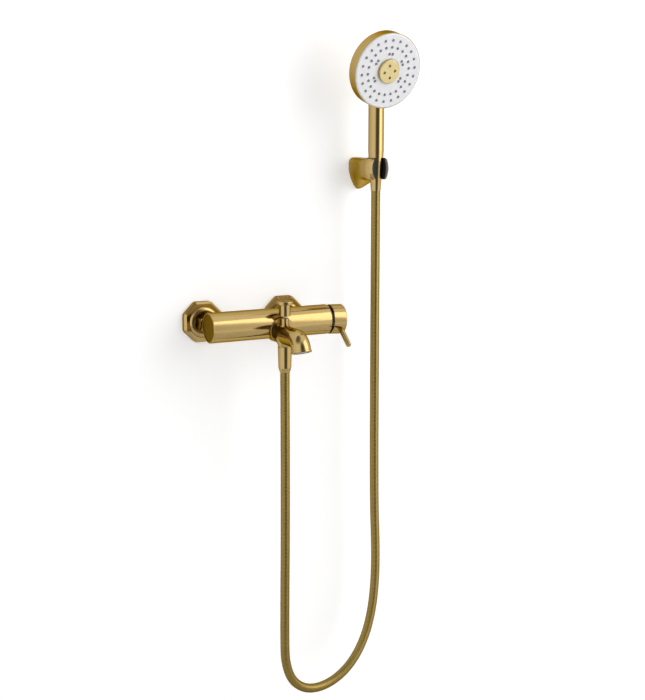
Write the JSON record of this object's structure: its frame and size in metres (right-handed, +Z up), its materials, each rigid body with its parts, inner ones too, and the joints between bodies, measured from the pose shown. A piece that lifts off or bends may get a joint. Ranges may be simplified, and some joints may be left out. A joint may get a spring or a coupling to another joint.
{
  "type": "bath shower mixer",
  "caption": "Wall-mounted bath shower mixer with lever handle, lift diverter, curved spout, hose, wall holder and round hand shower.",
  "frame": {"origin": "on the wall plane, midway between the hot and the cold inlet", "axes": "+Z up, +X to the right as seen by the bather, +Y into the wall; the mixer stands out towards -Y"},
  "size_m": [0.3951, 0.2102, 1.136],
  "materials": {
    "polished_brass": "mirror polished, warm gold coating",
    "hose_metal": "fine wound metal with a gold coating",
    "plain_brass": "plain machined",
    "steel": "plain machined",
    "black_plastic": "matte moulded",
    "black_rubber": "matte",
    "white_plastic": "glossy moulded",
    "grey_silicone": "soft matte",
    "inner_plastic": "plain moulded",
    "ceramic": "lapped ceramic"
  },
  "bodies": {
    "fixture": {"hot_union": "polished_brass", "hot_flange": "polished_brass", "hot_union_nut": "polished_brass", "cold_union": "polished_brass", "cold_flange": "polished_brass", "cold_union_nut": "polished_brass", "mixer_body": "polished_brass", "end_cap": "polished_brass", "spout": "polished_brass", "aerator_ring": "polished_brass", "diverter_gland": "polished_brass", "lower_hose_nut": "polished_brass", "holder_shell": "polished_brass", "hose": "hose_metal", "cartridge_nut": "plain_brass", "hose_nipple": "plain_brass", "lower_hose_tail": "plain_brass", "holder_bracket": "steel", "holder_screws": "steel", "holder_grub_screw": "steel", "holder_liner": "black_plastic", "trim_ring": "black_plastic", "inlet_washers": "black_rubber", "spout_seal": "black_rubber", "aerator_washer": "black_rubber", "lower_hose_washer": "black_rubber", "inlet_valves": "inner_plastic", "cartridge_housing": "inner_plastic", "aerator_insert": "inner_plastic", "ceramic_disc_fixed": "ceramic"},
    "diverter": {"diverter_knob": "polished_brass", "diverter_rod": "steel", "diverter_piston": "plain_brass", "piston_seal": "black_rubber", "piston_nut": "plain_brass"},
    "temperature_carrier": {"stem_carrier": "inner_plastic", "pivot_pin": "steel"},
    "moving_disc": {"ceramic_disc_moving": "ceramic", "disc_slider": "inner_plastic"},
    "lever_handle": {"cartridge_stem": "steel", "handle_cap": "polished_brass", "lever": "polished_brass", "set_screw": "steel"},
    "hose_end": {"upper_hose_tail": "plain_brass", "upper_hose_washer": "black_rubber"},
    "handset": {"handset_shell": "polished_brass", "upper_hose_nut": "polished_brass", "inner_tube": "inner_plastic", "handset_valve": "inner_plastic", "water_plate": "inner_plastic", "hub_screw": "steel"},
    "spray_plate": {"spray_face": "white_plastic", "nozzle_pad": "grey_silicone", "centre_jet": "polished_brass"}
  },
  "joints": [
    {"name": "diverter_lift", "type": "slide", "parent": "fixture", "child": "diverter", "axis": [0, 0, 1], "range_m": [0, 0.009]},
    {"name": "temperature_turn", "type": "hinge", "parent": "fixture", "child": "temperature_carrier", "pos_m": [0.114, -0.074, 0], "axis": [1, 0, 0], "range_deg": [-45, 45]},
    {"name": "flow_tilt", "type": "hinge", "parent": "temperature_carrier", "child": "lever_handle", "pos_m": [0.114, -0.074, 0], "axis": [0, -0.6428, 0.766], "range_deg": [0, 12]},
    {"name": "disc_slide", "type": "slide", "parent": "temperature_carrier", "child": "moving_disc", "axis": [0, -0.766, -0.6428], "range_m": [0, 0.0022]},
    {"name": "handset_lift", "type": "slide", "parent": "fixture", "child": "hose_end", "axis": [0, 0, 1], "range_m": [0, 0.06]},
    {"name": "handset_turn", "type": "hinge", "parent": "hose_end", "child": "handset", "pos_m": [0.2214, -0.065, 0.24], "axis": [0, 0, 1], "range_deg": [-60, 60]},
    {"name": "spray_select", "type": "hinge", "parent": "handset", "child": "spray_plate", "pos_m": [0.22331, -0.10145, 0.41], "axis": [0.0503, -0.9599, -0.2756], "range_deg": [-30, 30]}
  ],
  "couplings": [
    {"joint": "disc_slide", "follows": "flow_tilt", "m_per_rad": 0.01}
  ]
}
